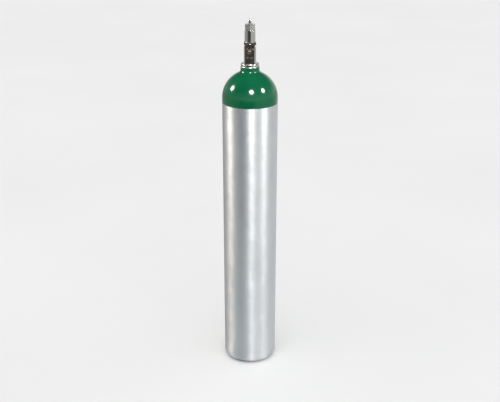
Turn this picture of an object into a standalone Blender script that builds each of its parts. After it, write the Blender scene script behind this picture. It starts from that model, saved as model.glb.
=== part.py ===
"""Medical oxygen cylinder, size E: a seamless aluminium pressure shell with an
enamelled shoulder, and a key-operated post valve with a pin-index outlet.

World frame: metres, +Z up. The origin is the centre of the standing ring, so
the cylinder stands on Z = 0. The valve's outlet face looks along -Y.
Every length below is in millimetres and is scaled by MM when it is used.
"""

import math

import bmesh
import bpy
from mathutils import Matrix, Vector

MM = 0.001
GAP = 0.3            # clearance kept between pieces that touch on the real object

# ---------------------------------------------------------------- shell
SHELL_R = 55.65      # outside radius: 111.3 mm diameter
SHELL_H = 650.0      # standing ring to the top of the neck
WALL = 5.5
BASE_T = 9.0
BASE_EDGE_R = 10.0   # outside radius between base and wall
RING_R = (29.0, 44.8)  # flat standing ring
RECESS = 2.6         # the base is dished inside the standing ring
DOME_Z = 586.0       # where the wall starts to turn in
DOME_B = 55.0        # height of the dome's ellipse
NECK_R = 18.6
NECK_FILLET = 8.0
NECK_BORE_R = 9.6    # 3/4 inch parallel thread
SEAL_R = 12.7        # counterbore that holds the neck O-ring
SEAL_DEPTH = 2.6
SHELL_SEGMENTS = 64

# ---------------------------------------------------------------- enamel
PAINT_Z = 577.0      # lower edge of the coloured shoulder
PAINT_PROUD = 0.10   # the coat stands this far out of the bare wall
PAINT_T = 0.35
PAINT_GAP = 0.25

# ---------------------------------------------------------------- valve body
SEAT_FACE = SHELL_H + GAP          # underside of the flange
STUB_R = NECK_BORE_R - GAP
STUB_LEN = 24.0
FLANGE_R = 18.0
FLANGE_T = 4.8
POST_W = 23.6        # side to side
POST_D = 27.4        # outlet face to screw-seat face
POST_CORNER = 3.6
POST_TOP = 697.0
TURRET_R = 10.5
TURRET_TOP = 720.4
OUTLET_Z = 683.0     # centre of the outlet port
PORT_R = 3.6
PORT_DEPTH = 6.0
PIN_CIRCLE = 14.3    # radius of the pin-index circle about the port
PIN_ANGLE = 18.0     # the oxygen pair, either side of straight down
PIN_R = 2.4
PIN_DEPTH = 5.5
DIMPLE_R = 4.0
INLET_R = 2.5
CHAMBER_FLOOR = 678.0
LIP = (2.5, 3.6, 1.0)   # inner radius, outer radius and height of the seat lip
BORE_R = 5.8
PACKING_BORE = (6.3, 703.0)   # radius and floor of the bore round the packing
NUT_THREAD = (7.6, 713.2)     # radius and floor of the thread for the packing nut

# ---------------------------------------------------------------- valve insides
PLUG_R = 5.5
PLUG_NOSE_R = 4.6
PLUG_Z = (680.4, 688.6, 698.6)
SLOT_W = 3.7
SLOT_FLOOR = 692.0
DISC_R = 3.7
DISC_T = 3.0
DISC_Z = CHAMBER_FLOOR + LIP[2] + GAP
TANG_T = 3.0
TANG_Z = (695.0, 702.0)
STEM_LOWER_R = 5.3
COLLAR_R = 6.0
COLLAR_Z = (703.4, 706.4)
STEM_R = 4.0
STEM_TOP = 741.0
FLAT_HALF = 3.1      # half the distance over the key flats
FLAT_Z = 732.2

# ---------------------------------------------------------------- packing and nut
NUT_AF = 19.05
NUT_Z = (TURRET_TOP + GAP, 731.4)
GLAND_T = 2.0
THROUGH_R = 4.35     # holes that the stem passes through

# ---------------------------------------------------------------- safety device
SAFETY_Z = 663.6
SAFETY_BORE_R = 4.8
SAFETY_FLOOR_Y = 6.6
SAFETY_AF = 11.1

# ---------------------------------------------------------------- debris tube
TUBE_R = (3.0, 4.0)
TUBE_Z = (568.0, 634.0)


# ================================================================ helpers
def clear_scene():
    for obj in list(bpy.data.objects):
        bpy.data.objects.remove(obj, do_unlink=True)


def material(name, rgb, roughness, metallic):
    mat = bpy.data.materials.new(name)
    mat.use_nodes = True
    shader = mat.node_tree.nodes["Principled BSDF"]
    shader.inputs["Base Color"].default_value = (*rgb, 1.0)
    shader.inputs["Roughness"].default_value = roughness
    shader.inputs["Metallic"].default_value = metallic
    mat.diffuse_color = (*rgb, 1.0)
    return mat


def link(name, mesh, mat=None, origin_z=0.0, parent=None, smooth=35.0):
    """Makes an object whose own origin lies on the cylinder's axis at origin_z (mm).
    Edges over smooth degrees stay sharp, and 0 leaves every face flat."""
    mesh.transform(Matrix.Translation((0, 0, -origin_z * MM)))
    obj = bpy.data.objects.new(name, mesh)
    bpy.context.scene.collection.objects.link(obj)
    obj.location = (0, 0, origin_z * MM)
    if mat:
        mesh.materials.append(mat)
    if parent:
        obj.parent = parent
        obj.matrix_parent_inverse = parent.matrix_world.inverted()
    if smooth:
        mesh.shade_smooth()
        mesh.set_sharp_from_angle(angle=math.radians(smooth))
    return obj


def lathe(profile, segments, phase=0.0):
    """Mesh turned about Z from (radius, z) points in mm. A profile that starts and
    ends on the axis is a plain turned solid; a profile that doesn't is closed into
    a ring. Points run up the outside, so faces look outwards."""
    bm = bmesh.new()
    rings = []
    for r, z in profile:
        if r < 1e-6:
            rings.append([bm.verts.new((0, 0, z * MM))])
        else:
            rings.append(
                [
                    bm.verts.new(
                        (
                            r * MM * math.cos(phase + 2 * math.pi * i / segments),
                            r * MM * math.sin(phase + 2 * math.pi * i / segments),
                            z * MM,
                        )
                    )
                    for i in range(segments)
                ]
            )
    pairs = list(zip(rings[:-1], rings[1:]))
    if profile[0][0] > 1e-6:
        pairs.append((rings[-1], rings[0]))
    for low, high in pairs:
        for i in range(segments):
            j = (i + 1) % segments
            if len(low) == 1 and len(high) == 1:
                continue
            if len(low) == 1:
                bm.faces.new((low[0], high[j], high[i]))
            elif len(high) == 1:
                bm.faces.new((low[i], low[j], high[0]))
            else:
                bm.faces.new((low[i], low[j], high[j], high[i]))
    bmesh.ops.recalc_face_normals(bm, faces=bm.faces)
    mesh = bpy.data.meshes.new("turned")
    bm.to_mesh(mesh)
    bm.free()
    return mesh


def prism(outline, z0, z1):
    """Mesh extruded along Z from a counter-clockwise outline of (x, y) in mm."""
    bm = bmesh.new()
    face = bm.faces.new([bm.verts.new((x * MM, y * MM, z0 * MM)) for x, y in outline])
    made = bmesh.ops.extrude_face_region(bm, geom=[face])
    top = [v for v in made["geom"] if isinstance(v, bmesh.types.BMVert)]
    bmesh.ops.translate(bm, verts=top, vec=(0, 0, (z1 - z0) * MM))
    bmesh.ops.recalc_face_normals(bm, faces=bm.faces)
    mesh = bpy.data.meshes.new("prism")
    bm.to_mesh(mesh)
    bm.free()
    return mesh


def box(lo, hi):
    (x0, y0, z0), (x1, y1, z1) = lo, hi
    return prism([(x0, y0), (x1, y0), (x1, y1), (x0, y1)], z0, z1)


def rounded_rectangle(w, d, r, steps=4):
    points = []
    for cx, cy, a0 in (
        (w / 2 - r, d / 2 - r, 0),
        (-w / 2 + r, d / 2 - r, 90),
        (-w / 2 + r, -d / 2 + r, 180),
        (w / 2 - r, -d / 2 + r, 270),
    ):
        for k in range(steps + 1):
            a = math.radians(a0 + 90 * k / steps)
            points.append((cx + r * math.cos(a), cy + r * math.sin(a)))
    return points


def polygon(across_flats, sides, turn=0.0):
    r = across_flats / 2 / math.cos(math.pi / sides)
    return [
        (
            r * math.cos(turn + 2 * math.pi * i / sides),
            r * math.sin(turn + 2 * math.pi * i / sides),
        )
        for i in range(sides)
    ]


def arc(cx, cz, r, a0, a1, steps):
    """(radius, z) points on an arc, from angle a0 to a1 in degrees, both included."""
    return [
        (
            cx + r * math.cos(math.radians(a0 + (a1 - a0) * k / steps)),
            cz + r * math.sin(math.radians(a0 + (a1 - a0) * k / steps)),
        )
        for k in range(steps + 1)
    ]


def along_y(mesh, x, z, towards):
    """Turns a mesh built about Z so that its +Z runs along +Y or -Y, through (x, z)."""
    turn = Matrix.Rotation(math.radians(-90 if towards > 0 else 90), 4, "X")
    mesh.transform(Matrix.Translation((x * MM, 0, z * MM)) @ turn)
    return mesh


def cutter(name, mesh):
    obj = bpy.data.objects.new(name, mesh)
    bpy.context.scene.collection.objects.link(obj)
    obj.hide_render = True
    obj.display_type = "WIRE"
    mesh.shade_smooth()
    mesh.set_sharp_from_angle(angle=math.radians(30.0))
    return obj


def combine(obj, operation, tool):
    mod = obj.modifiers.new(f"{operation.lower()} {tool.name}", "BOOLEAN")
    mod.operation = operation
    mod.object = tool
    mod.solver = "EXACT"
    return mod


# ================================================================ shell profile
def dome_outline(offset=0.0):
    """Outside of the shell from the wall to the neck's top edge: (radius, z) points,
    moved outwards along the surface's normal by offset."""
    a_axis, b_axis = SHELL_R, DOME_B
    centre_r = NECK_R + NECK_FILLET

    def on_ellipse(t):
        return a_axis * math.cos(t), DOME_Z + b_axis * math.sin(t)

    def normal(t):
        nr, nz = math.cos(t) / a_axis, math.sin(t) / b_axis
        length = math.hypot(nr, nz)
        return nr / length, nz / length

    # The fillet touches the ellipse where a circle of its radius, outside the
    # ellipse, has its centre at centre_r: bisection on the ellipse's parameter.
    lo, hi = 0.2, 1.5
    for _ in range(60):
        t = (lo + hi) / 2
        r, _z = on_ellipse(t)
        nr, _nz = normal(t)
        if r + nr * NECK_FILLET > centre_r:
            lo = t
        else:
            hi = t
    touch = (lo + hi) / 2
    r, z = on_ellipse(touch)
    nr, nz = normal(touch)
    cz = z + nz * NECK_FILLET
    points = []
    steps = 14
    for k in range(steps + 1):
        t = touch * k / steps
        (r, z), (nr, nz) = on_ellipse(t), normal(t)
        points.append((r + nr * offset, z + nz * offset))
    a0 = math.degrees(math.atan2(-nz, -nr))
    # Outwards is towards the fillet's centre here, so the arc's radius shrinks.
    points += arc(centre_r, cz, NECK_FILLET - offset, a0, -180, 5)[1:]
    return points


def shell_profile():
    """Closed path of the hollow shell, from the axis under the base, up the outside,
    over the neck and back down the inside to the axis."""
    bare = -(PAINT_T - PAINT_PROUD + PAINT_GAP)
    p = [(0, RECESS), (RING_R[0] - 5.0, RECESS), (RING_R[0], 0), (RING_R[1], 0)]
    edge = arc(SHELL_R - BASE_EDGE_R, BASE_EDGE_R, BASE_EDGE_R, -90, 0, 6)
    p += edge[1:]
    p += [(SHELL_R, PAINT_Z - GAP), (SHELL_R + bare, PAINT_Z - GAP)]
    p += dome_outline(bare)
    p += [
        (NECK_R + bare, SHELL_H - 0.9),
        (NECK_R + bare - 0.9, SHELL_H),
        (SEAL_R, SHELL_H),
        (SEAL_R, SHELL_H - SEAL_DEPTH),
        (NECK_BORE_R, SHELL_H - SEAL_DEPTH),
    ]
    inner_a, inner_b, inner_z = SHELL_R - WALL, 46.0, DOME_Z - 4.0
    start = math.acos(NECK_BORE_R / inner_a)
    for k in range(11):
        t = start * (1 - k / 10)
        p.append((inner_a * math.cos(t), inner_z + inner_b * math.sin(t)))
    p += arc(inner_a - 14.0, BASE_T + 14.0, 14.0, 0, -90, 5)
    p.append((0, BASE_T))
    return p


def enamel_profile():
    outer = dome_outline(PAINT_PROUD)
    inner = dome_outline(PAINT_PROUD - PAINT_T)
    top = SHELL_H - 1.4
    path = [(SHELL_R + PAINT_PROUD, PAINT_Z)] + outer
    path += [(NECK_R + PAINT_PROUD, top)]
    path += [(NECK_R + PAINT_PROUD - PAINT_T, top)]
    path += inner[::-1]
    path += [(SHELL_R + PAINT_PROUD - PAINT_T, PAINT_Z)]
    return path


# ================================================================ pieces
def make_shell(mats):
    link("cylinder_shell", lathe(shell_profile(), SHELL_SEGMENTS), mats["aluminium"])
    link("shoulder_enamel", lathe(enamel_profile(), SHELL_SEGMENTS), mats["green_enamel"])


def make_o_ring(mats):
    r = 1.0
    centre_r = (STUB_R + SEAL_R) / 2
    ring = arc(centre_r, SHELL_H - SEAL_DEPTH + GAP + r, r, -90, 270, 10)[:-1]
    link("neck_o_ring", lathe(ring, 36), mats["rubber"], SHELL_H)


def make_valve_body(mats, root):
    s = SEAT_FACE
    core = [
        (0, s - STUB_LEN),
        (STUB_R - 1.2, s - STUB_LEN),
        (STUB_R, s - STUB_LEN + 1.2),
        (STUB_R, s),
        (FLANGE_R - 0.7, s),
        (FLANGE_R, s + 0.7),
        (FLANGE_R, s + FLANGE_T - 1.2),
        (FLANGE_R - 1.2, s + FLANGE_T),
        (9.0, s + FLANGE_T),
        (9.0, POST_TOP - 4.0),
        (TURRET_R, POST_TOP - 4.0),
        (TURRET_R, TURRET_TOP - 0.6),
        (TURRET_R - 0.6, TURRET_TOP),
        (0, TURRET_TOP),
    ]
    post = prism(
        rounded_rectangle(POST_W, POST_D, POST_CORNER), s + FLANGE_T - 1.0, POST_TOP + 1.0
    )
    body = link("valve_body", post, mats["chrome"], s, root, smooth=0.0)

    # The post's top is turned, so its flats end in arches under the turret.
    crown = [(0, s), (20.0, s), (20.0, POST_TOP - 6.4)]
    crown += [(17.0, POST_TOP - 5.4), (12.6, POST_TOP - 1.0), (11.6, POST_TOP - 0.2)]
    crown += [(0, POST_TOP)]
    combine(body, "INTERSECT", cutter("crown_turning", lathe(crown, 48)))
    combine(body, "UNION", cutter("valve_core", lathe(core, 40)))

    bore = [
        (0, s - STUB_LEN - 2.0),
        (TUBE_R[1] + GAP, s - STUB_LEN - 2.0),
        (TUBE_R[1] + GAP, TUBE_Z[1] + GAP),
        (INLET_R, TUBE_Z[1] + GAP),
        (INLET_R, CHAMBER_FLOOR + LIP[2]),
        (LIP[1], CHAMBER_FLOOR + LIP[2]),
        (LIP[1] + 0.4, CHAMBER_FLOOR),
        (BORE_R, CHAMBER_FLOOR),
        (BORE_R, PACKING_BORE[1]),
        (PACKING_BORE[0], PACKING_BORE[1]),
        (PACKING_BORE[0], NUT_THREAD[1]),
        (NUT_THREAD[0], NUT_THREAD[1]),
        (NUT_THREAD[0], TURRET_TOP + 2.0),
        (0, TURRET_TOP + 2.0),
    ]
    combine(body, "DIFFERENCE", cutter("main_bore", lathe(bore, 32, math.pi / 32)))

    face = POST_D / 2
    port = [
        (0, 2.0),
        (1.7, 2.0),
        (1.7, face - PORT_DEPTH),
        (PORT_R, face - PORT_DEPTH),
        (PORT_R, face - 0.5),
        (PORT_R + 0.7, face + 0.2),
        (PORT_R + 0.7, face + 2.0),
        (0, face + 2.0),
    ]
    combine(
        body,
        "DIFFERENCE",
        cutter("outlet_port", along_y(lathe(port, 24), 0, OUTLET_Z, -1)),
    )
    pin = [
        (0, face - PIN_DEPTH),
        (PIN_R, face - PIN_DEPTH),
        (PIN_R, face + 2.0),
        (0, face + 2.0),
    ]
    for side, name in ((-1, "pin_hole_left"), (1, "pin_hole_right")):
        a = math.radians(PIN_ANGLE)
        x, z = side * PIN_CIRCLE * math.sin(a), OUTLET_Z - PIN_CIRCLE * math.cos(a)
        combine(body, "DIFFERENCE", cutter(name, along_y(lathe(pin, 20), x, z, -1)))
    dimple = [(0, face - 3.6), (DIMPLE_R * 1.5, face + 1.8), (0, face + 1.8)]
    combine(
        body,
        "DIFFERENCE",
        cutter("screw_dimple", along_y(lathe(dimple, 24), 0, OUTLET_Z, 1)),
    )
    vent = [
        (0, 0.7),
        (1.5, 0.7),
        (1.5, SAFETY_FLOOR_Y),
        (SAFETY_BORE_R, SAFETY_FLOOR_Y),
        (SAFETY_BORE_R, face + 2.0),
        (0, face + 2.0),
    ]
    combine(
        body,
        "DIFFERENCE",
        cutter("safety_bore", along_y(lathe(vent, 24), 0, SAFETY_Z, 1)),
    )
    return body


def make_debris_tube(mats, root):
    r0, r1 = TUBE_R
    z0, z1 = TUBE_Z
    wall = [(r0, z0), (r1 - 0.3, z0), (r1, z0 + 0.4), (r1, z1), (r0, z1)]
    link("debris_tube", lathe(wall, 24), mats["brass"], SEAT_FACE, root)


def make_lower_plug(mats, carrier):
    z0, z1, z2 = PLUG_Z
    plug = [
        (0, DISC_Z + DISC_T + GAP),
        (DISC_R + GAP, DISC_Z + DISC_T + GAP),
        (DISC_R + GAP, z0),
        (PLUG_NOSE_R - 0.3, z0),
        (PLUG_NOSE_R, z0 + 0.4),
        (PLUG_NOSE_R, z1 - 0.9),
        (PLUG_R, z1),
        (PLUG_R, z2 - 0.6),
        (PLUG_R - 0.6, z2),
        (0, z2),
    ]
    obj = link("lower_plug", lathe(plug, 32), mats["brass"], PLUG_Z[0], carrier)
    slot = box((-SLOT_W / 2, -8, SLOT_FLOOR), (SLOT_W / 2, 8, z2 + 2))
    combine(obj, "DIFFERENCE", cutter("drive_slot", slot))
    disc = [
        (0, DISC_Z),
        (DISC_R - 0.3, DISC_Z),
        (DISC_R, DISC_Z + 0.3),
        (DISC_R, DISC_Z + DISC_T),
        (0, DISC_Z + DISC_T),
    ]
    link("seat_disc", lathe(disc, 32), mats["nylon"], PLUG_Z[0], carrier)


def make_stem(mats, carrier):
    c0, c1 = COLLAR_Z
    stem = [
        (0, TANG_Z[0]),
        (STEM_LOWER_R - 0.6, TANG_Z[0]),
        (STEM_LOWER_R - 0.6, TANG_Z[1]),
        (STEM_LOWER_R, TANG_Z[1]),
        (STEM_LOWER_R, c0),
        (COLLAR_R, c0),
        (COLLAR_R, c1),
        (STEM_R, c1),
        (STEM_R, STEM_TOP - 2.2),
    ]
    stem += arc(STEM_R - 2.2, STEM_TOP - 2.2, 2.2, 0, 90, 4)[1:]
    stem += [(0, STEM_TOP)]
    obj = link("valve_stem", lathe(stem, 32), mats["chrome"], COLLAR_Z[0], carrier)
    for side, name in ((-1, "flat_left"), (1, "flat_right")):
        near, far = side * FLAT_HALF, side * 9.0
        lo, hi = min(near, far), max(near, far)
        flat = box((lo, -9, FLAT_Z), (hi, 9, STEM_TOP + 2))
        combine(obj, "DIFFERENCE", cutter(name, flat))
        near = side * TANG_T / 2
        lo, hi = min(near, far), max(near, far)
        tang = box((lo, -9, TANG_Z[0] - 2), (hi, 9, TANG_Z[1]))
        combine(obj, "DIFFERENCE", cutter(f"tang_{name}", tang))


def make_packing(mats, root):
    def ring(name, z0, z1, r1, mat, r0=THROUGH_R):
        link(name, lathe([(r0, z0), (r1, z0), (r1, z1), (r0, z1)], 32), mat, z0, root)

    wide = PACKING_BORE[0] - GAP
    z = COLLAR_Z[1] + GAP
    ring("thrust_washer", z, z + 1.2, wide, mats["nylon"])
    z += 1.2 + GAP
    ring("stem_packing", z, z + 3.2, wide, mats["ptfe"])
    z += 3.2 + GAP
    ring("gland_ring", z, z + GLAND_T, wide, mats["brass"])
    z += GLAND_T + GAP

    z0, z1 = NUT_Z
    nut = link(
        "packing_nut",
        prism(polygon(NUT_AF, 6, math.radians(30)), z0, z1),
        mats["chrome"],
        z0,
        root,
        smooth=0.0,
    )
    corner = NUT_AF / 2 / math.cos(math.pi / 6)
    slope = math.tan(math.radians(30))
    wide, narrow = corner + 0.3, NUT_AF / 2 - 1.2
    turned = [
        (0, z0 - 0.47),
        (corner - 1.6, z0 - 0.47),
        (wide, z0 + 0.8),
        (wide, z1 - (wide - NUT_AF / 2 + 0.4) * slope),
        (narrow, z1 + (NUT_AF / 2 - 0.4 - narrow) * slope),
        (0, z1 + (NUT_AF / 2 - 0.4 - narrow) * slope),
    ]
    combine(nut, "INTERSECT", cutter("nut_chamfer", lathe(turned, 48)))
    thread_r = NUT_THREAD[0] - GAP
    spigot = [
        (0, z),
        (thread_r - 0.6, z),
        (thread_r, z + 0.6),
        (thread_r, z0 + 3.0),
        (0, z0 + 3.0),
    ]
    combine(nut, "UNION", cutter("nut_thread", lathe(spigot, 32)))
    hollow = [
        (0, z - 2),
        (THROUGH_R, z - 2),
        (THROUGH_R, z1 - 0.5),
        (THROUGH_R + 0.7, z1 + 0.2),
        (THROUGH_R + 0.7, z1 + 2),
        (0, z1 + 2),
    ]
    combine(nut, "DIFFERENCE", cutter("nut_bore", lathe(hollow, 32, math.pi / 32)))


def make_safety_device(mats, root):
    """Frangible disc, gasket and alloy-filled plug in the bore behind the post."""

    def turned(name, profile, mat, segments=24):
        mesh = along_y(lathe(profile, segments), 0, SAFETY_Z, 1)
        return link(name, mesh, mat, SAFETY_Z, root)

    face = POST_D / 2
    r = SAFETY_BORE_R - GAP
    y = SAFETY_FLOOR_Y + GAP
    turned("burst_disc", [(0, y), (r, y), (r, y + 0.4), (0, y + 0.4)], mats["copper"])
    y += 0.4 + GAP
    turned(
        "disc_gasket",
        [(2.0, y), (r, y), (r, y + 0.9), (2.0, y + 0.9)],
        mats["ptfe"],
    )
    y += 0.9 + GAP
    bore = 1.9
    head = [
        (bore, y),
        (r, y),
        (r, face + GAP),
        (8.0, face + GAP),
        (8.0, face + GAP + 3.6),
        (4.9, face + GAP + 4.6),
        (bore + 0.4, face + GAP + 4.6),
        (bore, face + GAP + 4.2),
    ]
    plug = turned("safety_plug", head, mats["chrome"])
    hexagon = prism(polygon(SAFETY_AF, 6), y - 2.0, face + 9.0)
    combine(
        plug,
        "INTERSECT",
        cutter("plug_hexagon", along_y(hexagon, 0, SAFETY_Z, 1)),
    )
    core = bore - GAP
    turned(
        "fusible_core",
        [(0, y + 0.2), (core, y + 0.2), (core, face + 3.6), (0, face + 3.6)],
        mats["lead"],
        16,
    )


def main():
    clear_scene()
    mats = {
        "aluminium": material("brushed_aluminium", (0.74, 0.75, 0.76), 0.34, 1.0),
        "green_enamel": material("green_enamel", (0.006, 0.135, 0.055), 0.2, 0.0),
        "chrome": material("chrome_plate", (0.62, 0.61, 0.58), 0.16, 1.0),
        "brass": material("brass", (0.72, 0.52, 0.24), 0.32, 1.0),
        "rubber": material("black_rubber", (0.02, 0.02, 0.02), 0.7, 0.0),
        "nylon": material("white_nylon", (0.78, 0.76, 0.70), 0.5, 0.0),
        "ptfe": material("ptfe", (0.86, 0.86, 0.84), 0.55, 0.0),
        "copper": material("copper", (0.80, 0.42, 0.26), 0.3, 1.0),
        "lead": material("fusible_alloy", (0.34, 0.35, 0.37), 0.5, 1.0),
    }
    # Empties on the valve's axis carry what turns with the stem.
    root = bpy.data.objects.new("valve", None)
    root.location = (0, 0, SEAT_FACE * MM)
    stem_axis = bpy.data.objects.new("stem_axis", None)
    stem_axis.location = (0, 0, COLLAR_Z[0] * MM)
    plug_axis = bpy.data.objects.new("plug_axis", None)
    plug_axis.location = (0, 0, PLUG_Z[0] * MM)
    for empty in (root, stem_axis, plug_axis):
        bpy.context.scene.collection.objects.link(empty)
    bpy.context.view_layer.update()

    make_shell(mats)
    make_o_ring(mats)
    make_valve_body(mats, root)
    make_debris_tube(mats, root)
    make_lower_plug(mats, plug_axis)
    make_stem(mats, stem_axis)
    make_packing(mats, root)
    make_safety_device(mats, root)
    bpy.context.view_layer.update()


main()
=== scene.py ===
"""Looks for the oxygen cylinder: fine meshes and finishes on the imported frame.

Metres, +Z up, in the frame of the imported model. Lengths in the shape code are in
millimetres and are scaled by MM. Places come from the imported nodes' boxes.
"""

import math

import bmesh
import bpy
from mathutils import Matrix, Vector


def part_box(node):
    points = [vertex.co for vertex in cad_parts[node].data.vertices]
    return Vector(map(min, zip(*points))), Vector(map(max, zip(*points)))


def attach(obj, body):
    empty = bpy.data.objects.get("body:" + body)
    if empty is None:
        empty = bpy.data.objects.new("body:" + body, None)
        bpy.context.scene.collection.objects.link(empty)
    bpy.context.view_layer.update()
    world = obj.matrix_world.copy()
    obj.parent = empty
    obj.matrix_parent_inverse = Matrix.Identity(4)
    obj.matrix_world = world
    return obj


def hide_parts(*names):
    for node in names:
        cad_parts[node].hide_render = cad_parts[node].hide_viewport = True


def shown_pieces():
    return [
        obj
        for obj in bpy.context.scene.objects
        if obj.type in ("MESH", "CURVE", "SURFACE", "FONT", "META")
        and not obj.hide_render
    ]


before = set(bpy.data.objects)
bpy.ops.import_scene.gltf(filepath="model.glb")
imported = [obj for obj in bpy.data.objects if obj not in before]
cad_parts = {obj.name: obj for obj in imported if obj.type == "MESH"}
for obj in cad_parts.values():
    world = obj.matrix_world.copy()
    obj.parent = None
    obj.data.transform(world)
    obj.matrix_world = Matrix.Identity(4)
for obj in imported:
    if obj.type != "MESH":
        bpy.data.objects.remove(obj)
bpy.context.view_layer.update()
scene = bpy.context.scene
MM = 0.001


def span(node):
    lo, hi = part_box(node)
    return [v / MM for v in lo], [v / MM for v in hi]


# ---------------------------------------------------------------- sizes, from the frame
shell_lo, shell_hi = span("cylinder_shell")
coat_lo, coat_hi = span("shoulder_enamel")
valve_lo, valve_hi = span("valve_body")
nut_lo, nut_hi = span("packing_nut")
stem_lo, stem_hi = span("valve_stem")
relief_lo, relief_hi = span("safety_plug")
plug_lo, plug_hi = span("lower_plug")

SHELL_R = shell_hi[0]
SHELL_H = shell_hi[2]
COAT_R = coat_hi[0]
COAT_Z = coat_lo[2]
COAT_TOP = coat_hi[2]
PROUD = COAT_R - SHELL_R
COAT_T = 0.35
COAT_GAP = 0.25
DOME_Z, DOME_B = 586.0, 55.0
NECK_R, NECK_FILLET = 18.6, 8.0
SEAT = SHELL_H + 0.3
FLANGE_R = valve_hi[0]
TURRET_TOP = valve_hi[2]
OUTLET_Z = 683.0
SAFETY_Z = (relief_lo[2] + relief_hi[2]) / 2
STEM_TOP = stem_hi[2]


# ================================================================ mesh helpers
def finish_mesh(bm, name, sharp=32.0):
    bmesh.ops.recalc_face_normals(bm, faces=bm.faces)
    mesh = bpy.data.meshes.new(name)
    bm.to_mesh(mesh)
    bm.free()
    mesh.shade_smooth()
    mesh.set_sharp_from_angle(angle=math.radians(sharp))
    return mesh


def lathe(profile, segments, phase=0.0, sharp=32.0):
    """Turned mesh from (radius, z) points in mm, up the outside, as in a workshop."""
    bm = bmesh.new()
    rings = []
    for r, z in profile:
        if r < 1e-6:
            rings.append([bm.verts.new((0, 0, z * MM))])
            continue
        rings.append(
            [
                bm.verts.new(
                    (
                        r * MM * math.cos(phase + 2 * math.pi * i / segments),
                        r * MM * math.sin(phase + 2 * math.pi * i / segments),
                        z * MM,
                    )
                )
                for i in range(segments)
            ]
        )
    pairs = list(zip(rings[:-1], rings[1:]))
    if profile[0][0] > 1e-6:
        pairs.append((rings[-1], rings[0]))
    for low, high in pairs:
        for i in range(segments):
            j = (i + 1) % segments
            if len(low) == 1 and len(high) == 1:
                continue
            if len(low) == 1:
                bm.faces.new((low[0], high[j], high[i]))
            elif len(high) == 1:
                bm.faces.new((low[i], low[j], high[0]))
            else:
                bm.faces.new((low[i], low[j], high[j], high[i]))
    return finish_mesh(bm, "turned", sharp)


def prism(outline, z0, z1):
    bm = bmesh.new()
    face = bm.faces.new([bm.verts.new((x * MM, y * MM, z0 * MM)) for x, y in outline])
    made = bmesh.ops.extrude_face_region(bm, geom=[face])
    top = [v for v in made["geom"] if isinstance(v, bmesh.types.BMVert)]
    bmesh.ops.translate(bm, verts=top, vec=(0, 0, (z1 - z0) * MM))
    return finish_mesh(bm, "prism")


def arc(cx, cz, r, a0, a1, steps):
    return [
        (
            cx + r * math.cos(math.radians(a0 + (a1 - a0) * k / steps)),
            cz + r * math.sin(math.radians(a0 + (a1 - a0) * k / steps)),
        )
        for k in range(steps + 1)
    ]


def polygon(across_flats, sides, turn=0.0):
    r = across_flats / 2 / math.cos(math.pi / sides)
    return [
        (
            r * math.cos(turn + 2 * math.pi * i / sides),
            r * math.sin(turn + 2 * math.pi * i / sides),
        )
        for i in range(sides)
    ]


def rounded_outline(corners, radius, steps):
    """A closed outline with each corner rounded by an arc of that radius."""
    points = []
    count = len(corners)
    for i in range(count):
        p = Vector(corners[i])
        before = (Vector(corners[i - 1]) - p).normalized()
        after = (Vector(corners[(i + 1) % count]) - p).normalized()
        half = math.acos(max(-1, min(1, before.dot(after)))) / 2
        reach = radius / math.tan(half)
        a, b = p + before * reach, p + after * reach
        centre = p + (before + after).normalized() * (radius / math.sin(half))
        a0 = math.atan2(a.y - centre.y, a.x - centre.x)
        a1 = math.atan2(b.y - centre.y, b.x - centre.x)
        turn = (a1 - a0 + math.pi) % (2 * math.pi) - math.pi
        for k in range(steps + 1):
            t = a0 + turn * k / steps
            points.append((centre.x + radius * math.cos(t), centre.y + radius * math.sin(t)))
    return points


def along_y(mesh, x, z, towards):
    turn = Matrix.Rotation(math.radians(-90 if towards > 0 else 90), 4, "X")
    mesh.transform(Matrix.Translation((x * MM, 0, z * MM)) @ turn)
    return mesh


def add_object(name, mesh):
    obj = bpy.data.objects.new(name, mesh)
    scene.collection.objects.link(obj)
    return obj


def apply_all(obj):
    """Applies the modifiers and returns the object with a plain mesh."""
    bpy.context.view_layer.update()
    graph = bpy.context.evaluated_depsgraph_get()
    mesh = bpy.data.meshes.new_from_object(obj.evaluated_get(graph))
    obj.modifiers.clear()
    obj.data = mesh
    return obj


def combine(obj, operation, mesh):
    tool = add_object("tool", mesh)
    mod = obj.modifiers.new("combine", "BOOLEAN")
    mod.operation, mod.object, mod.solver = operation, tool, "EXACT"
    apply_all(obj)
    bpy.data.objects.remove(tool, do_unlink=True)
    return obj


def bevel(obj, width, segments=3, angle=25.0):
    mod = obj.modifiers.new("bevel", "BEVEL")
    mod.width = width * MM
    mod.segments = segments
    mod.limit_method = "ANGLE"
    mod.angle_limit = math.radians(angle)
    mod.use_clamp_overlap = True
    mod.miter_outer = "MITER_ARC"
    return apply_all(obj)


def shade(obj, sharp=32.0):
    """Smooth shading that leaves machined flats flat."""
    obj.data.shade_smooth()
    obj.data.set_sharp_from_angle(angle=math.radians(sharp))
    mod = obj.modifiers.new("flats", "WEIGHTED_NORMAL")
    mod.mode = "FACE_AREA"
    mod.weight = 80
    mod.keep_sharp = True
    return obj


def place(obj, mat, slot, body, *nodes):
    obj.data.materials.clear()
    obj.data.materials.append(mat)
    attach(obj, body)
    if nodes:
        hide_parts(*nodes)
    return obj


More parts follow.
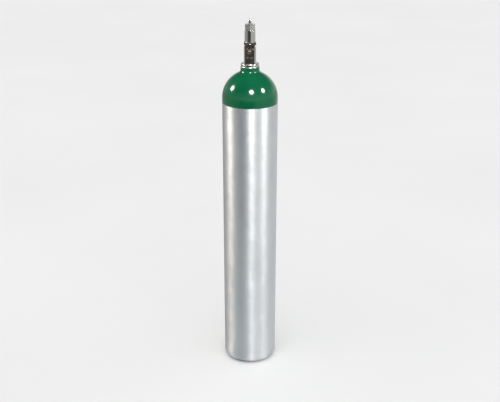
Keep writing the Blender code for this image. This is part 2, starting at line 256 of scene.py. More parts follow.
# ================================================================ material helpers
class Nodes:
    """A short way to write a node tree."""

    def __init__(self, name):
        self.mat = bpy.data.materials.new(name)
        self.mat.use_nodes = True
        self.tree = self.mat.node_tree
        self.bsdf = self.tree.nodes["Principled BSDF"]
        self.coords = self.tree.nodes.new("ShaderNodeTexCoord").outputs["Object"]

    def set(self, **values):
        for key, value in values.items():
            self.bsdf.inputs[key.replace("_", " ")].default_value = value

    def link(self, output, name):
        self.tree.links.new(output, self.bsdf.inputs[name])

    def feed(self, node, key, value):
        if isinstance(value, bpy.types.NodeSocket):
            self.tree.links.new(value, node.inputs[key])
        else:
            node.inputs[key].default_value = value

    def scaled(self, x, y, z, turn=(0, 0, 0), source=None):
        node = self.tree.nodes.new("ShaderNodeMapping")
        node.inputs["Scale"].default_value = (x, y, z)
        node.inputs["Rotation"].default_value = turn
        self.tree.links.new(source or self.coords, node.inputs["Vector"])
        return node.outputs["Vector"]

    def noise(self, vector, scale=1.0, detail=3.0, rough=0.5, distort=0.0):
        node = self.tree.nodes.new("ShaderNodeTexNoise")
        self.tree.links.new(vector, node.inputs["Vector"])
        node.inputs["Scale"].default_value = scale
        node.inputs["Detail"].default_value = detail
        node.inputs["Roughness"].default_value = rough
        node.inputs["Distortion"].default_value = distort
        return node.outputs["Fac"]

    def ramp(self, value, *stops):
        node = self.tree.nodes.new("ShaderNodeValToRGB")
        band = node.color_ramp
        while len(band.elements) > 1:
            band.elements.remove(band.elements[-1])
        for k, (pos, colour) in enumerate(stops):
            element = band.elements[0] if k == 0 else band.elements.new(pos)
            element.position = pos
            element.color = (*colour, 1) if isinstance(colour, tuple) else (colour,) * 3 + (1,)
        self.tree.links.new(value, node.inputs["Fac"])
        return node.outputs["Color"]

    def math(self, operation, a, b=None, c=None, clamp=False):
        node = self.tree.nodes.new("ShaderNodeMath")
        node.operation = operation
        node.use_clamp = clamp
        for k, value in enumerate((a, b, c)):
            if value is not None:
                self.feed(node, k, value)
        return node.outputs[0]

    def span(self, value, a0, a1, b0, b1, smooth=False):
        node = self.tree.nodes.new("ShaderNodeMapRange")
        node.interpolation_type = "SMOOTHSTEP" if smooth else "LINEAR"
        self.feed(node, "Value", value)
        for key, number in zip(("From Min", "From Max", "To Min", "To Max"), (a0, a1, b0, b1)):
            node.inputs[key].default_value = number
        return node.outputs["Result"]

    def mix(self, factor, a, b):
        node = self.tree.nodes.new("ShaderNodeMix")
        node.data_type = "RGBA"
        self.feed(node, 0, factor)
        for key, value in ((6, a), (7, b)):
            if isinstance(value, tuple):
                value = (*value, 1)
            self.feed(node, key, value)
        return node.outputs[2]

    def split(self, source=None):
        node = self.tree.nodes.new("ShaderNodeSeparateXYZ")
        self.tree.links.new(source or self.coords, node.inputs[0])
        return node.outputs

    def bumps(self, *layers):
        """Each layer is (height, distance in mm, strength)."""
        last = None
        for height, distance, strength in layers:
            node = self.tree.nodes.new("ShaderNodeBump")
            node.inputs["Distance"].default_value = distance * MM
            node.inputs["Strength"].default_value = strength
            self.tree.links.new(height, node.inputs["Height"])
            if last:
                self.tree.links.new(last, node.inputs["Normal"])
            last = node.outputs["Normal"]
        self.link(last, "Normal")
        return last

    def scratches(self, along, across, angle_axis, seed, low, high):
        """Sparse hairlines: noise that is long one way and fine the other, kept only
        near its peaks. Gives 0 on clean metal and 1 in a scratch."""
        turn = [0.0, 0.0, 0.0]
        turn["XYZ".index(angle_axis)] = seed
        fine = self.noise(self.scaled(across, across, along, tuple(turn)), 1.0, 2.0, 0.5)
        patch = self.noise(self.scaled(9 + seed, 9 + seed, 9 + seed), 1.0, 1.0, 0.5)
        keep = self.span(patch, 0.5, 0.62, 0.0, 1.0, True)
        line = self.span(fine, low, high, 0.0, 1.0, True)
        return self.math("MULTIPLY", line, keep)

    def radial(self, centre, axes):
        """Distance in metres from a line through centre; axes are the two used."""
        parts = self.split()
        total = None
        for axis, c in zip(axes, centre):
            d = self.math("SUBTRACT", parts["XYZ".index(axis)], c)
            d = self.math("MULTIPLY", d, d)
            total = d if total is None else self.math("ADD", total, d)
        return self.math("SQRT", total)


# ================================================================ finishes
def brushed_aluminium():
    n = Nodes("brushed_aluminium_fine")
    n.set(Metallic=1.0, Anisotropic=0.82, Anisotropic_Rotation=0.25, IOR=1.5)
    tangent = n.tree.nodes.new("ShaderNodeTangent")
    tangent.direction_type, tangent.axis = "RADIAL", "Z"
    n.link(tangent.outputs[0], "Tangent")

    # Lines of the brush run round the shell, so they are fine along Z.
    fine = n.noise(n.scaled(6, 6, 5200), 1.0, 3.0, 0.6)
    broad = n.noise(n.scaled(5, 5, 620), 1.0, 2.0, 0.55)
    cloud = n.noise(n.scaled(16, 16, 7), 1.0, 4.0, 0.6, 0.4)
    handled = n.noise(n.scaled(38, 38, 22), 1.0, 5.0, 0.62, 0.8)

    # Hairlines down the wall, where rack wires and other cylinders have rubbed it.
    rubs = n.scratches(14, 900, "X", 0.06, 0.67, 0.74)
    nicks = n.scratches(60, 700, "Y", 0.55, 0.7, 0.75)
    z = n.split()[2]
    foot = n.span(z, 0.0, 0.05, 1.0, 0.0, True)
    scuff = n.math("MULTIPLY", n.span(handled, 0.5, 0.64, 0.0, 1.0, True), foot)

    tone = n.ramp(
        cloud, (0.25, (0.67, 0.68, 0.70)), (0.5, (0.73, 0.74, 0.755)), (0.8, (0.80, 0.80, 0.805))
    )
    tone = n.mix(n.span(fine, 0.3, 0.7, 0.0, 0.16), tone, (0.60, 0.61, 0.63))
    tone = n.mix(n.math("MULTIPLY", rubs, 0.55), tone, (0.55, 0.56, 0.58))
    tone = n.mix(n.math("MULTIPLY", nicks, 0.5), tone, (0.9, 0.9, 0.9))
    tone = n.mix(n.math("MULTIPLY", scuff, 0.45), tone, (0.42, 0.42, 0.43))
    n.link(tone, "Base Color")

    rough = n.span(handled, 0.3, 0.7, 0.35, 0.44)
    rough = n.math("ADD", rough, n.span(broad, 0.35, 0.65, -0.02, 0.02))
    rough = n.math("ADD", rough, n.math("MULTIPLY", scuff, 0.15))
    n.link(rough, "Roughness")
    n.bumps(
        (fine, 0.006, 0.35),
        (broad, 0.01, 0.25),
        (n.math("ADD", rubs, nicks), -0.02, 0.3),
        (n.noise(n.scaled(11, 11, 6), 1.0, 2.0, 0.5), 0.25, 0.1),
    )
    return n.mat


def green_enamel():
    n = Nodes("green_enamel_fine")
    n.set(Coat_Weight=0.8, Coat_Roughness=0.05, Coat_IOR=1.38, IOR=1.5, Specular_IOR_Level=0.1)
    cloud = n.noise(n.scaled(24, 24, 24), 1.0, 4.0, 0.55)
    peel = n.noise(n.scaled(420, 420, 420), 1.0, 2.0, 0.5)
    runs = n.noise(n.scaled(60, 60, 14), 1.0, 2.0, 0.5)
    speck = n.noise(n.scaled(2600, 2600, 2600), 1.0, 1.0, 0.5)
    parts = n.split()
    base = n.ramp(
        cloud, (0.25, (0.0003, 0.045, 0.0175)), (0.55, (0.0004, 0.055, 0.0215)), (0.8, (0.0010, 0.065, 0.026))
    )
    # The coat thins towards its masked lower edge.
    edge = n.noise(n.scaled(95, 95, 95), 1.0, 3.0, 0.6)
    low = n.math("ADD", parts[2], n.math("MULTIPLY", edge, -0.0022))
    thin = n.span(low, COAT_Z * MM - 0.0012, COAT_Z * MM + 0.0012, 0.75, 0.0, True)
    base = n.mix(n.math("MULTIPLY", thin, 0.35), base, (0.02, 0.19, 0.10))
    dust = n.span(speck, 0.7, 0.76, 0.0, 0.5, True)
    base = n.mix(n.math("MULTIPLY", dust, 0.25), base, (0.06, 0.24, 0.16))
    # Fine rub marks from the rack and from neighbouring cylinders.
    marks = n.scratches(70, 640, "Y", 0.9, 0.69, 0.745)
    more = n.scratches(520, 60, "X", 0.35, 0.70, 0.75)
    marks = n.math("MAXIMUM", marks, more)
    base = n.mix(n.math("MULTIPLY", marks, 0.35), base, (0.05, 0.22, 0.14))
    n.link(base, "Base Color")
    rough = n.span(cloud, 0.3, 0.75, 0.16, 0.26)
    n.link(n.math("ADD", rough, n.math("MULTIPLY", marks, 0.25)), "Roughness")
    normal = n.bumps((peel, 0.02, 0.10), (runs, 0.12, 0.10), (marks, -0.02, 0.3))
    n.link(normal, "Coat Normal")
    return n.mat


def plated(name, kind, tone=(0.66, 0.65, 0.62)):
    """Chrome over machined brass. kind is turned, post or hex: it sets which way the
    tool marks run under the plating."""
    n = Nodes(name)
    n.set(Metallic=1.0, IOR=1.5)
    cloud = n.noise(n.scaled(260, 260, 260), 1.0, 4.0, 0.6, 0.5)
    breath = n.noise(n.scaled(90, 90, 90), 1.0, 3.0, 0.6, 0.3)
    turned = n.noise(n.scaled(30, 30, 9000), 1.0, 2.0, 0.5)
    if kind == "turned":
        marks = turned
    else:
        # Milled faces carry fine lines along the post, swept a little.
        marks = n.noise(n.scaled(5200, 5200, 70, (0.0, 0.05, 0.0)), 1.0, 2.0, 0.5, 0.2)
    hair = n.math(
        "MAXIMUM",
        n.scratches(180, 5200, "Y", 0.5, 0.68, 0.73),
        n.scratches(3600, 160, "X", 0.3, 0.69, 0.74),
    )
    colour = n.ramp(
        cloud,
        (0.2, tuple(c * 0.86 for c in tone)),
        (0.55, tone),
        (0.85, tuple(min(1, c * 1.1) for c in tone)),
    )
    low = n.span(marks, 0.25, 0.75, 0.0, 0.22)
    colour = n.mix(low, colour, tuple(c * 0.62 for c in tone))
    colour = n.mix(n.math("MULTIPLY", hair, 0.35), colour, (0.86, 0.84, 0.8))
    rough = n.span(breath, 0.3, 0.7, 0.09, 0.2)
    height = marks
    if kind == "post":
        # The yoke's washer leaves a ring round the outlet, its screw one round the dimple.
        d = n.radial((0.0, OUTLET_Z * MM), ("X", "Z"))
        inner = n.span(d, 0.0052, 0.0057, 0.0, 1.0, True)
        outer = n.span(d, 0.0068, 0.0076, 1.0, 0.0, True)
        y = n.math("ABSOLUTE", n.split()[1])
        face = n.span(y, 0.0132, 0.0136, 0.0, 1.0, True)
        ring = n.math("MULTIPLY", n.math("MULTIPLY", inner, outer), face)
        ring = n.math("MULTIPLY", ring, n.span(breath, 0.35, 0.6, 0.25, 1.0, True))
        inside = n.span(y, 0.0130, 0.0134, 1.0, 0.0)
        bore = n.math("MULTIPLY", n.span(d, 0.0036, 0.0040, 1.0, 0.0, True), inside)
        colour = n.mix(n.math("MULTIPLY", ring, 0.5), colour, (0.5, 0.46, 0.38))
        colour = n.mix(n.math("MULTIPLY", bore, 0.75), colour, (0.34, 0.27, 0.19))
        rough = n.math("ADD", rough, n.math("MULTIPLY", ring, 0.2))
        # Plating hardly reaches into the two index-pin holes: bare, dull metal, and painted shade darkens
        # them near to black.
        for side in (-1, 1):
            a = math.radians(18.0)
            x, z = side * 0.0143 * math.sin(a), OUTLET_Z * MM - 0.0143 * math.cos(a)
            pin = n.span(n.radial((x, z), ("X", "Z")), 0.0024, 0.00275, 1.0, 0.0, True)
            pin = n.math("MULTIPLY", pin, inside)
            colour = n.mix(n.math("MULTIPLY", pin, 0.9), colour, (0.10, 0.085, 0.06))
            rough = n.math("ADD", rough, n.math("MULTIPLY", pin, 0.35))
        rough = n.math("ADD", rough, n.math("MULTIPLY", bore, 0.2))
    n.link(colour, "Base Color")
    n.link(n.math("ADD", rough, n.math("MULTIPLY", hair, 0.15)), "Roughness")
    n.bumps((height, 0.004, 0.25), (hair, -0.006, 0.3), (cloud, 0.01, 0.12))
    return n.mat


def machined(name, tone, dark, rough0, rough1, lines=5200):
    n = Nodes(name)
    n.set(Metallic=1.0)
    marks = n.noise(n.scaled(40, 40, lines), 1.0, 2.0, 0.5)
    stain = n.noise(n.scaled(180, 180, 180), 1.0, 4.0, 0.62, 0.5)
    colour = n.mix(n.span(stain, 0.4, 0.7, 0.0, 0.6, True), tone, dark)
    colour = n.mix(n.span(marks, 0.3, 0.7, 0.0, 0.25), colour, dark)
    n.link(colour, "Base Color")
    n.link(n.span(stain, 0.3, 0.7, rough0, rough1), "Roughness")
    n.bumps((marks, 0.01, 0.3), (stain, 0.01, 0.15))
    return n.mat


def moulded(name, tone, other, rough0, rough1, grain, strength=0.25, sheen=0.0):
    n = Nodes(name)
    n.set(Sheen_Weight=sheen)
    cloud = n.noise(n.scaled(150, 150, 150), 1.0, 4.0, 0.6)
    fine = n.noise(n.scaled(grain, grain, grain), 1.0, 3.0, 0.6)
    n.link(n.mix(n.span(cloud, 0.35, 0.7, 0.0, 1.0, True), tone, other), "Base Color")
    n.link(n.span(fine, 0.3, 0.7, rough0, rough1), "Roughness")
    n.bumps((fine, 0.01, strength), (cloud, 0.02, 0.1))
    return n.mat


aluminium = brushed_aluminium()
enamel = green_enamel()
chrome_post = plated("chrome_plate_post", "post", (0.60, 0.59, 0.56))
chrome_turned = plated("chrome_plate_turned", "turned", (0.66, 0.65, 0.62))
chrome_hex = plated("chrome_plate_hex", "hex", (0.62, 0.61, 0.58))
brass = machined("brass_machined", (0.74, 0.54, 0.25), (0.46, 0.31, 0.13), 0.24, 0.4)
copper = machined("copper_foil", (0.82, 0.44, 0.28), (0.5, 0.22, 0.12), 0.22, 0.42, 900)
alloy = machined("fusible_alloy_cast", (0.36, 0.37, 0.39), (0.2, 0.2, 0.21), 0.42, 0.62, 400)
rubber = moulded("black_rubber_fine", (0.016, 0.016, 0.016), (0.035, 0.034, 0.033), 0.55, 0.8, 1800)
nylon = moulded("white_nylon_fine", (0.78, 0.76, 0.70), (0.70, 0.67, 0.6), 0.38, 0.55, 1500)
ptfe = moulded("ptfe_fine", (0.87, 0.87, 0.85), (0.8, 0.8, 0.78), 0.42, 0.6, 2400)

for node, mat in {
    "neck_o_ring": rubber,
    "debris_tube": brass,
    "lower_plug": brass,
    "seat_disc": nylon,
    "thrust_washer": nylon,
    "stem_packing": ptfe,
    "gland_ring": brass,
    "burst_disc": copper,
    "disc_gasket": ptfe,
    "fusible_core": alloy,
}.items():
    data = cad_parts[node].data
    data.materials.clear()
    data.materials.append(mat)


# ================================================================ shell and coat
def dome_outline(offset, steps, fillet_steps):
    a_axis, b_axis = SHELL_R, DOME_B
    centre_r = NECK_R + NECK_FILLET

    def on(t):
        return a_axis * math.cos(t), DOME_Z + b_axis * math.sin(t)

    def normal(t):
        nr, nz = math.cos(t) / a_axis, math.sin(t) / b_axis
        length = math.hypot(nr, nz)
        return nr / length, nz / length

    lo, hi = 0.2, 1.5
    for _ in range(60):
        t = (lo + hi) / 2
        if on(t)[0] + normal(t)[0] * NECK_FILLET > centre_r:
            lo = t
        else:
            hi = t
    touch = (lo + hi) / 2
    (_r, z), (nr, nz) = on(touch), normal(touch)
    cz = z + nz * NECK_FILLET
    points = []
    for k in range(steps + 1):
        t = touch * k / steps
        (r, z), (mr, mz) = on(t), normal(t)
        points.append((r + mr * offset, z + mz * offset))
    a0 = math.degrees(math.atan2(-nz, -nr))
    points += arc(centre_r, cz, NECK_FILLET - offset, a0, -180, fillet_steps)[1:]
    return points


def build_shell():
    bare = -(COAT_T - PROUD + COAT_GAP)
    p = [(0, 2.6), (20.0, 2.6)]
    p += [(22.0, 2.5), (24.5, 1.8), (27.0, 0.7), (28.4, 0.15), (29.4, 0.0)]
    p += arc(SHELL_R - 10.0, 10.0, 10.0, -90, 0, 16)[0:]
    p += [(SHELL_R, 60.0), (SHELL_R, 200.0), (SHELL_R, 400.0)]
    p += [(SHELL_R, COAT_Z - 0.35), (SHELL_R - 0.05, COAT_Z - 0.3), (SHELL_R + bare, COAT_Z - 0.3)]
    p += dome_outline(bare, 34, 10)
    p += [(NECK_R + bare, SHELL_H - 1.0)]
    p += arc(NECK_R + bare - 1.0, SHELL_H - 1.0, 1.0, 0, 90, 5)[1:]
    p += [(12.9, SHELL_H), (12.7, SHELL_H - 0.2), (12.7, SHELL_H - 2.6), (9.6, SHELL_H - 2.6)]
    inner_a, inner_b, inner_z = SHELL_R - 5.5, 46.0, DOME_Z - 4.0
    start = math.acos(9.6 / inner_a)
    for k in range(19):
        t = start * (1 - k / 18)
        p.append((inner_a * math.cos(t), inner_z + inner_b * math.sin(t)))
    p += arc(inner_a - 14.0, 23.0, 14.0, 0, -90, 8)
    p.append((0, 9.0))
    obj = add_object("shell", lathe(p, 192))
    place(obj, aluminium, "aluminium", "cylinder", "cylinder_shell")


def build_coat():
    outer = dome_outline(PROUD, 36, 12)
    inner = dome_outline(PROUD - COAT_T, 36, 12)
    bead = 0.06
    path = [(SHELL_R + PROUD - COAT_T, COAT_Z), (SHELL_R + PROUD - bead, COAT_Z)]
    path += [(SHELL_R + PROUD - bead * 0.3, COAT_Z + bead * 0.4), (SHELL_R + PROUD, COAT_Z + 0.2)]
    path += outer + [(NECK_R + PROUD, COAT_TOP - 0.2), (NECK_R + PROUD - bead, COAT_TOP)]
    path += [(NECK_R + PROUD - COAT_T, COAT_TOP)] + inner[::-1]
    obj = add_object("shoulder_coat", lathe(path, 192))
    place(obj, enamel, "green_enamel", "cylinder", "shoulder_enamel")


# ================================================================ valve
def build_valve_post():
    s = SEAT
    w, d, c = 23.6, 27.4, 3.6
    corners = [(w / 2, -d / 2), (w / 2, d / 2), (-w / 2, d / 2), (-w / 2, -d / 2)]
    top = 697.0
    post = add_object("valve_post", prism(rounded_outline(corners, c, 10), s + 3.8, top + 1.0))
    crown = [(0, s), (20.0, s), (20.0, top - 6.4)]
    crown += [(17.0, top - 5.4), (12.6, top - 1.0), (11.6, top - 0.2), (0, top)]
    combine(post, "INTERSECT", lathe(crown, 160))
    bevel(post, 0.28, 3, 28.0)
    core = [(0, s - 24.0), (9.3 - 1.2, s - 24.0), (9.3, s - 22.8), (9.3, s)]
    core += [(FLANGE_R - 0.7, s)] + arc(FLANGE_R - 0.7, s + 0.7, 0.7, -90, 0, 4)[1:]
    core += [(FLANGE_R, s + 3.4)] + arc(FLANGE_R - 1.2, s + 3.6, 1.2, 0, 90, 6)
    core += [(9.0, s + 4.8), (9.0, top - 4.0), (10.5, top - 4.0), (10.5, TURRET_TOP - 0.6)]
    core += arc(9.9, TURRET_TOP - 0.6, 0.6, 0, 90, 4)[1:] + [(0, TURRET_TOP)]
    combine(post, "UNION", lathe(core, 128))
    # The turned core above rounds the flange's edges and the top of the turret.
    bore = [(0, s - 26.0), (4.3, s - 26.0), (4.3, 634.3), (2.5, 634.3), (2.5, 679.0)]
    bore += [(3.6, 679.0), (4.0, 678.0), (5.8, 678.0), (5.8, 703.0), (6.3, 703.0)]
    bore += [(6.3, 713.2), (7.6, 713.2), (7.6, TURRET_TOP + 2), (0, TURRET_TOP + 2)]
    combine(post, "DIFFERENCE", lathe(bore, 64, math.pi / 64))
    face = d / 2
    port = [(0, 2.0), (1.7, 2.0), (1.7, face - 6.0), (3.35, face - 6.0), (3.6, face - 5.6)]
    port += [(3.6, face - 0.55), (3.72, face - 0.35), (4.3, face + 0.23), (4.3, face + 2), (0, face + 2)]
    combine(post, "DIFFERENCE", along_y(lathe(port, 64), 0, OUTLET_Z, -1))
    pin = [(0, face - 6.2), (2.4, face - 5.0), (2.4, face - 0.3), (2.9, face + 0.2)]
    pin += [(2.9, face + 2), (0, face + 2)]
    for side in (-1, 1):
        a = math.radians(18.0)
        x, z = side * 14.3 * math.sin(a), OUTLET_Z - 14.3 * math.cos(a)
        combine(post, "DIFFERENCE", along_y(lathe(pin, 48), x, z, -1))
    dimple = [(0, face - 3.6), (6.0, face + 1.8), (0, face + 1.8)]
    combine(post, "DIFFERENCE", along_y(lathe(dimple, 64), 0, OUTLET_Z, 1))
    vent = [(0, 0.7), (1.5, 0.7), (1.5, 6.6), (4.8, 6.6), (4.8, face - 0.3), (5.3, face + 0.2)]
    vent += [(5.3, face + 2), (0, face + 2)]
    combine(post, "DIFFERENCE", along_y(lathe(vent, 64), 0, SAFETY_Z, 1))
    shade(post, 30.0)
    place(post, chrome_post, "chrome", "cylinder", "valve_body")


def build_nut():
    z0, z1 = TURRET_TOP + 0.3, nut_hi[2]
    af = 19.05
    corner = af / 2 / math.cos(math.pi / 6)
    nut = add_object(
        "packing_hex_nut",
        prism(rounded_outline(polygon(af, 6, math.radians(30)), 0.5, 5), z0, z1),
    )
    slope = math.tan(math.radians(30))
    wide, narrow = corner + 0.3, af / 2 - 1.2
    turned = [(0, z0 - 0.47), (corner - 1.6, z0 - 0.47), (wide, z0 + 0.8)]
    turned += [(wide, z1 - (wide - af / 2 + 0.4) * slope)]
    turned += [(narrow, z1 + (af / 2 - 0.4 - narrow) * slope)]
    turned += [(0, z1 + (af / 2 - 0.4 - narrow) * slope)]
    combine(nut, "INTERSECT", lathe(turned, 192))
    bevel(nut, 0.15, 2, 20.0)
    spigot_z = nut_lo[2]
    spigot = [(0, spigot_z), (6.7, spigot_z), (7.3, spigot_z + 0.6), (7.3, z0 + 3.0), (0, z0 + 3.0)]
    combine(nut, "UNION", lathe(spigot, 64))
    hollow = [(0, spigot_z - 2), (4.35, spigot_z - 2), (4.35, z1 - 0.5), (5.05, z1 + 0.2)]
    hollow += [(5.05, z1 + 2), (0, z1 + 2)]
    combine(nut, "DIFFERENCE", lathe(hollow, 64, math.pi / 64))
    shade(nut, 30.0)
    place(nut, chrome_hex, "chrome", "cylinder", "packing_nut")


def build_stem():
    t0 = stem_lo[2]
    stem = [(0, t0), (4.7, t0), (4.7, t0 + 7.0), (5.3, t0 + 7.0), (5.3, 703.4), (6.0, 703.4)]
    stem += [(6.0, 706.4), (4.0, 706.4), (4.0, STEM_TOP - 2.2)]
    stem += arc(1.8, STEM_TOP - 2.2, 2.2, 0, 90, 10)[1:] + [(0, STEM_TOP)]
    obj = add_object("key_stem", lathe(stem, 96))
    top, flat_z = STEM_TOP + 2, 732.2

    def slab(x0, x1, z0, z1):
        return prism([(x0, -9), (x1, -9), (x1, 9), (x0, 9)], z0, z1)

    for side in (-1, 1):
        a, b = sorted((side * 3.1, side * 9.0))
        combine(obj, "DIFFERENCE", slab(a, b, flat_z, top))
        a, b = sorted((side * 1.5, side * 9.0))
        combine(obj, "DIFFERENCE", slab(a, b, t0 - 2, t0 + 7.0))
    bevel(obj, 0.12, 2, 30.0)
    shade(obj, 30.0)
    place(obj, chrome_turned, "chrome", "stem", "valve_stem")


def build_relief_plug():
    face = 13.7
    y = relief_lo[1]
    outer = relief_hi[1]
    head = [(1.9, y), (4.5, y), (4.5, face + 0.3), (8.0, face + 0.3), (8.0, outer - 1.0)]
    head += [(5.2, outer), (2.3, outer), (1.9, outer - 0.4)]
    plug = add_object("relief_plug", along_y(lathe(head, 96), 0, SAFETY_Z, 1))
    hexagon = prism(rounded_outline(polygon(11.1, 6), 0.3, 4), y - 2.0, outer + 4.0)
    combine(plug, "INTERSECT", along_y(hexagon, 0, SAFETY_Z, 1))
    bevel(plug, 0.1, 2, 30.0)
    shade(plug, 30.0)
    place(plug, chrome_hex, "chrome", "cylinder", "safety_plug")


build_shell()
build_coat()
build_valve_post()
build_nut()
build_stem()
build_relief_plug()


# ================================================================ stage, light, camera
def compass(tree, x, y, bands):
    """A colour by the compass direction of (x, y), from a list of (azimuth, colour)."""
    nodes, links = tree.nodes, tree.links
    flip = nodes.new("ShaderNodeMath")
    flip.operation = "MULTIPLY"
    flip.inputs[1].default_value = -1.0
    links.new(y, flip.inputs[0])
    angle = nodes.new("ShaderNodeMath")
    angle.operation = "ARCTAN2"
    links.new(x, angle.inputs[0])
    links.new(flip.outputs[0], angle.inputs[1])
    turn = nodes.new("ShaderNodeMapRange")
    turn.inputs["From Min"].default_value = -math.pi
    turn.inputs["From Max"].default_value = math.pi
    links.new(angle.outputs[0], turn.inputs["Value"])
    ramp = nodes.new("ShaderNodeValToRGB")
    band = ramp.color_ramp
    while len(band.elements) > 1:
        band.elements.remove(band.elements[-1])
    for k, (degrees, colour) in enumerate(bands):
        where = (degrees + 180.0) / 360.0
        element = band.elements[0] if k == 0 else band.elements.new(where)
        element.position = where
        element.color = (*colour, 1)
    links.new(turn.outputs["Result"], ramp.inputs["Fac"])
    return ramp.outputs["Color"]


def build_floor():
    bm = bmesh.new()
    bmesh.ops.create_grid(bm, x_segments=1, y_segments=1, size=16.0)
    floor = add_object("floor", finish_mesh(bm, "floor"))
    n = Nodes("studio_floor")
    cloud = n.noise(n.scaled(1.4, 1.4, 1.4), 1.0, 3.0, 0.5)
    pale = n.ramp(cloud, (0.3, (0.875, 0.875, 0.877)), (0.7, (0.905, 0.905, 0.905)))
    # Painted reflection: to glossy rays the floor shows darker tones, banded by azimuth, near the
    # cylinder and farther out, so polished metal mirrors less of the white than the eye sees.
    path = n.tree.nodes.new("ShaderNodeLightPath")
    parts = n.split()
    near = compass(n.tree, parts[0], parts[1], FLOOR_NEAR_PAINTED_REFLECTION)
    far = compass(n.tree, parts[0], parts[1], FLOOR_FAR_PAINTED_REFLECTION)
    reach = n.radial((0.0, 0.0), ("X", "Y"))
    painted_reflection = n.mix(n.span(reach, 0.75, 1.25, 0.0, 1.0, True), near, far)
    n.link(n.mix(path.outputs["Is Glossy Ray"], pale, painted_reflection), "Base Color")
    n.set(Roughness=0.7, IOR=1.35)
    floor.data.materials.append(n.mat)


def area_light(name, azimuth, elevation, distance, size, power, colour, target=(0, 0, 0.5)):
    """A round soft light. Azimuth 0 is towards -Y and 90 is towards +X."""
    data = bpy.data.lights.new(name, "AREA")
    data.shape, data.size, data.energy, data.color = "DISK", size, power, colour
    obj = bpy.data.objects.new(name, data)
    scene.collection.objects.link(obj)
    a, e = math.radians(azimuth), math.radians(elevation)
    back = Vector((math.sin(a) * math.cos(e), -math.cos(a) * math.cos(e), math.sin(e)))
    obj.location = Vector(target) + back * distance
    obj.rotation_euler = (-back).to_track_quat("-Z", "Y").to_euler()
    obj.light_linking.receiver_collection = lit
    return obj


def build_world():
    """White to the eye and to diffuse light. In polished metal the room has darker and
    lighter walls, so that the metal reads as metal."""
    world = bpy.data.worlds.new("studio")
    scene.world = world
    world.use_nodes = True
    tree = world.node_tree
    nodes, links = tree.nodes, tree.links
    soft = nodes["Background"]
    soft.inputs["Color"].default_value = (1.0, 1.0, 1.0, 1)
    soft.inputs["Strength"].default_value = ROOM_LIGHT
    room = nodes.new("ShaderNodeBackground")
    coords = nodes.new("ShaderNodeTexCoord")
    parts = nodes.new("ShaderNodeSeparateXYZ")
    links.new(coords.outputs["Generated"], parts.inputs[0])
    colour = compass(tree, parts.outputs[0], parts.outputs[1], ROOM_WALLS)
    lift = nodes.new("ShaderNodeMapRange")
    lift.interpolation_type = "SMOOTHSTEP"
    for key, value in zip(("From Min", "From Max", "To Min", "To Max"), (0.05, 0.55, 1.0, CEILING)):
        lift.inputs[key].default_value = value
    links.new(parts.outputs[2], lift.inputs["Value"])
    links.new(colour, room.inputs["Color"])
    links.new(lift.outputs["Result"], room.inputs["Strength"])
    path = nodes.new("ShaderNodeLightPath")
    mix = nodes.new("ShaderNodeMixShader")
    links.new(path.outputs["Is Glossy Ray"], mix.inputs[0])
    links.new(soft.outputs[0], mix.inputs[1])
    links.new(room.outputs[0], mix.inputs[2])
    # The backdrop behind a low camera is as pale as the floor it meets.
    backdrop = nodes.new("ShaderNodeBackground")
    backdrop.inputs["Color"].default_value = BACKDROP
    behind = nodes.new("ShaderNodeMixShader")
    links.new(path.outputs["Is Camera Ray"], behind.inputs[0])
    links.new(mix.outputs[0], behind.inputs[1])
    links.new(backdrop.outputs[0], behind.inputs[2])
    links.new(behind.outputs[0], nodes["World Output"].inputs["Surface"])


CAMERA_AZIMUTH = 0.0
ROOM_LIGHT = 1.0
CEILING = 0.12
BACKDROP = (0.86, 0.86, 0.862, 1)
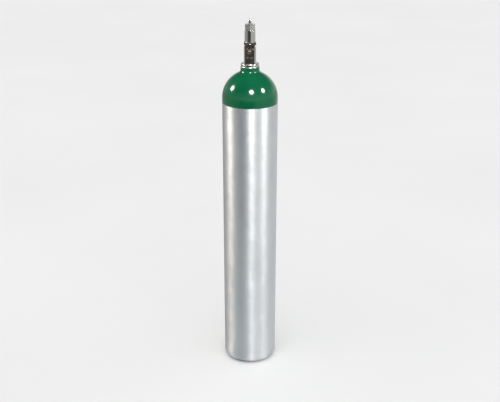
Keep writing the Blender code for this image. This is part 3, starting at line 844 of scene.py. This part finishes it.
# What polished metal mirrors, by azimuth: 0 is -Y and 90 is +X.
ROOM_WALLS = (
    (-180, (0.84, 0.85, 0.86)),
    (-158, (0.38, 0.40, 0.405)),
    (-120, (0.53, 0.545, 0.54)),
    (-92, (0.64, 0.635, 0.61)),
    (-66, (0.58, 0.61, 0.62)),
    (-48, (0.64, 0.70, 0.73)),
    (-30, (0.78, 0.855, 0.89)),
    (-4, (0.92, 0.98, 1.0)),
    (12, (0.98, 1.02, 1.03)),
    (44, (0.98, 1.01, 1.02)),
    (87, (0.88, 0.935, 0.945)),
    (122, (0.87, 0.92, 0.925)),
    (180, (0.84, 0.85, 0.86)),
)
# Painted reflection: floor tones that only glossy rays see, out past 1.25 m, by azimuth.
FLOOR_FAR_PAINTED_REFLECTION = (
    (-180, (0.66, 0.66, 0.66)),
    (-158, (0.32, 0.32, 0.325)),
    (-120, (0.43, 0.43, 0.42)),
    (-92, (0.50, 0.49, 0.46)),
    (-66, (0.40, 0.40, 0.40)),
    (-50, (0.28, 0.28, 0.28)),
    (-38, (0.07, 0.056, 0.052)),
    (-12, (0.04, 0.030, 0.025)),
    (8, (0.04, 0.030, 0.025)),
    (18, (0.34, 0.335, 0.32)),
    (26, (0.62, 0.63, 0.60)),
    (44, (0.68, 0.69, 0.66)),
    (87, (0.60, 0.61, 0.60)),
    (122, (0.67, 0.67, 0.67)),
    (180, (0.66, 0.66, 0.66)),
)
# Painted reflection: floor tones that only glossy rays see, within 0.75 m, by azimuth.
FLOOR_NEAR_PAINTED_REFLECTION = (
    (-180, (0.66, 0.67, 0.675)),
    (-158, (0.31, 0.32, 0.325)),
    (-92, (0.50, 0.495, 0.47)),
    (-66, (0.46, 0.48, 0.485)),
    (-38, (0.43, 0.47, 0.485)),
    (-12, (0.46, 0.50, 0.515)),
    (8, (0.60, 0.625, 0.63)),
    (44, (0.74, 0.76, 0.76)),
    (122, (0.69, 0.72, 0.725)),
    (180, (0.66, 0.67, 0.675)),
)
# The three lamps are flagged off the floor, which the room's white light fills.
lit = bpy.data.collections.new("lit_by_lamps")
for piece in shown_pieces():
    lit.objects.link(piece)
build_floor()
build_world()
area_light("key_left", CAMERA_AZIMUTH - 95.5, 29, 2.5, 0.7, 60, (1.0, 0.95, 0.86))
area_light("key_front", CAMERA_AZIMUTH + 7, 37, 2.5, 0.78, 70, (1.0, 1.0, 1.0))
area_light("key_right", CAMERA_AZIMUTH + 65.5, 33, 2.5, 0.68, 48, (1.0, 0.995, 0.98))

camera = bpy.data.objects.new("camera", bpy.data.cameras.new("camera"))
scene.collection.objects.link(camera)
scene.camera = camera
camera.data.sensor_width = 36.0
camera.data.lens = 61.5
camera.data.clip_start = 0.05
camera.data.clip_end = 60.0
azimuth = math.radians(CAMERA_AZIMUTH)
camera.location = (1.656 * math.sin(azimuth), -1.656 * math.cos(azimuth), 1.04)
aim = Vector((0, 0, 0.362))
camera.rotation_euler = (aim - camera.location).to_track_quat("-Z", "Y").to_euler()

scene.view_settings.view_transform = "Standard"
scene.view_settings.look = "None"

bpy.context.view_layer.update()
